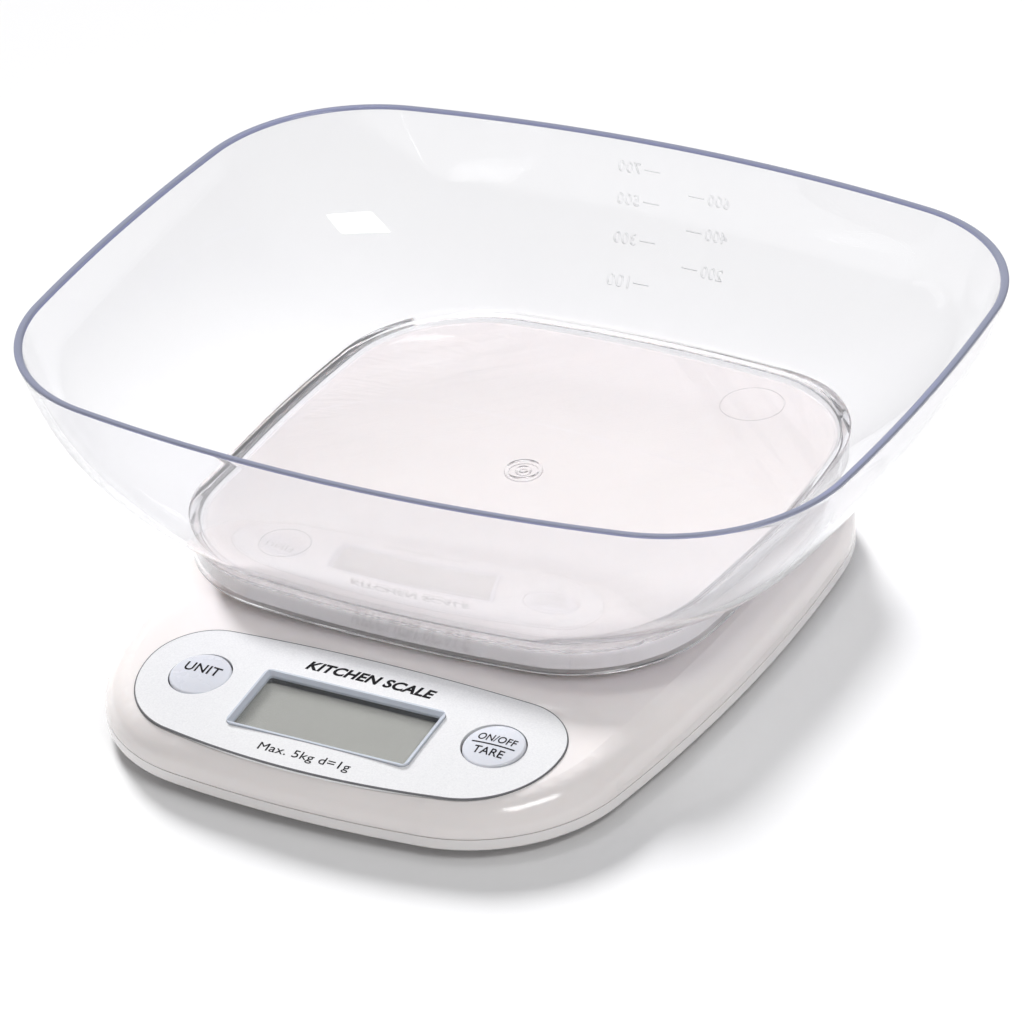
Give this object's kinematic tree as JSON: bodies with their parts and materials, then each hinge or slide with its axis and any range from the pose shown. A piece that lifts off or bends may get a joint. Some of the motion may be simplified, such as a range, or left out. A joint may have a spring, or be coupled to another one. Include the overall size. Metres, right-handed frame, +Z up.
{
  "type": "kitchen scale",
  "caption": "Battery kitchen scale: domed base with display and press keys, sprung weighing platter, and a clear lift-off measuring bowl with litre marks.",
  "frame": {"origin": "centre of the footprint's bounding box, on the table under the feet", "axes": "+X to the right seen from the display, +Y to the back, +Z up"},
  "size_m": [0.1942, 0.1816, 0.068],
  "materials": {
    "clear": "clear polished moulding",
    "white_plastic": "glossy",
    "pearl_panel": "silver pearl, satin",
    "key_plastic": "satin",
    "display_glass": "grey-green display glass",
    "grey_plastic": "moulded",
    "contact_rubber": "striped contact rubber",
    "foot_rubber": "matt",
    "zinc_steel": "zinc plated",
    "cell_aluminium": "milled",
    "sealant": "white sealant",
    "circuit_board": "solder mask",
    "black_parts": "moulded",
    "wire_cover": "wire covering"
  },
  "bodies": {
    "base": {"bottom_cover": "white_plastic", "top_cover": "white_plastic", "foot_front_left": "foot_rubber", "foot_front_right": "foot_rubber", "foot_back_left": "foot_rubber", "foot_back_right": "foot_rubber", "case_screws": "zinc_steel", "control_panel": "pearl_panel", "lcd_frame": "pearl_panel", "lcd_window": "display_glass", "lcd_glass": "display_glass", "lcd_holder": "grey_plastic", "zebra_strips": "contact_rubber", "main_board": "circuit_board", "tact_switches": "grey_plastic", "board_parts": "black_parts", "board_screws": "zinc_steel", "load_cell": "cell_aluminium", "strain_gauges": "sealant", "cell_base_spacer": "zinc_steel", "cell_base_screws": "zinc_steel", "coin_cell": "zinc_steel", "battery_cradle": "grey_plastic", "battery_contact_minus": "zinc_steel", "battery_contact_plus": "zinc_steel", "sensor_lead": "wire_cover", "battery_leads": "wire_cover"},
    "platter": {"platter": "white_plastic", "platter_bracket": "zinc_steel", "platter_screws": "zinc_steel", "cell_top_spacer": "cell_aluminium", "cell_top_screws": "zinc_steel"},
    "bowl": {"bowl": "clear"},
    "unit_key": {"unit_button": "key_plastic"},
    "tare_key": {"tare_button": "key_plastic"},
    "battery_door": {"battery_door": "white_plastic"}
  },
  "joints": [
    {"name": "platter_load", "type": "slide", "parent": "base", "child": "platter", "axis": [0, 0, -1], "range_m": [0, 0.0005], "stiffness_N_per_m": 80000, "deforming": ["load_cell"]},
    {"name": "bowl_lift", "type": "slide", "parent": "platter", "child": "bowl", "axis": [0, 0, 1], "range_m": [0, 0.12]},
    {"name": "unit_press", "type": "slide", "parent": "base", "child": "unit_key", "axis": [0, 0.103, -0.9947], "range_m": [0, 0.0005], "stiffness_N_per_m": 600},
    {"name": "tare_press", "type": "slide", "parent": "base", "child": "tare_key", "axis": [0, 0.103, -0.9947], "range_m": [0, 0.0005], "stiffness_N_per_m": 600},
    {"name": "battery_door_turn", "type": "hinge", "parent": "base", "child": "battery_door", "pos_m": [0, 0.0511, 0.0035], "axis": [0, 0, -1], "range_deg": [0, 60]}
  ]
}
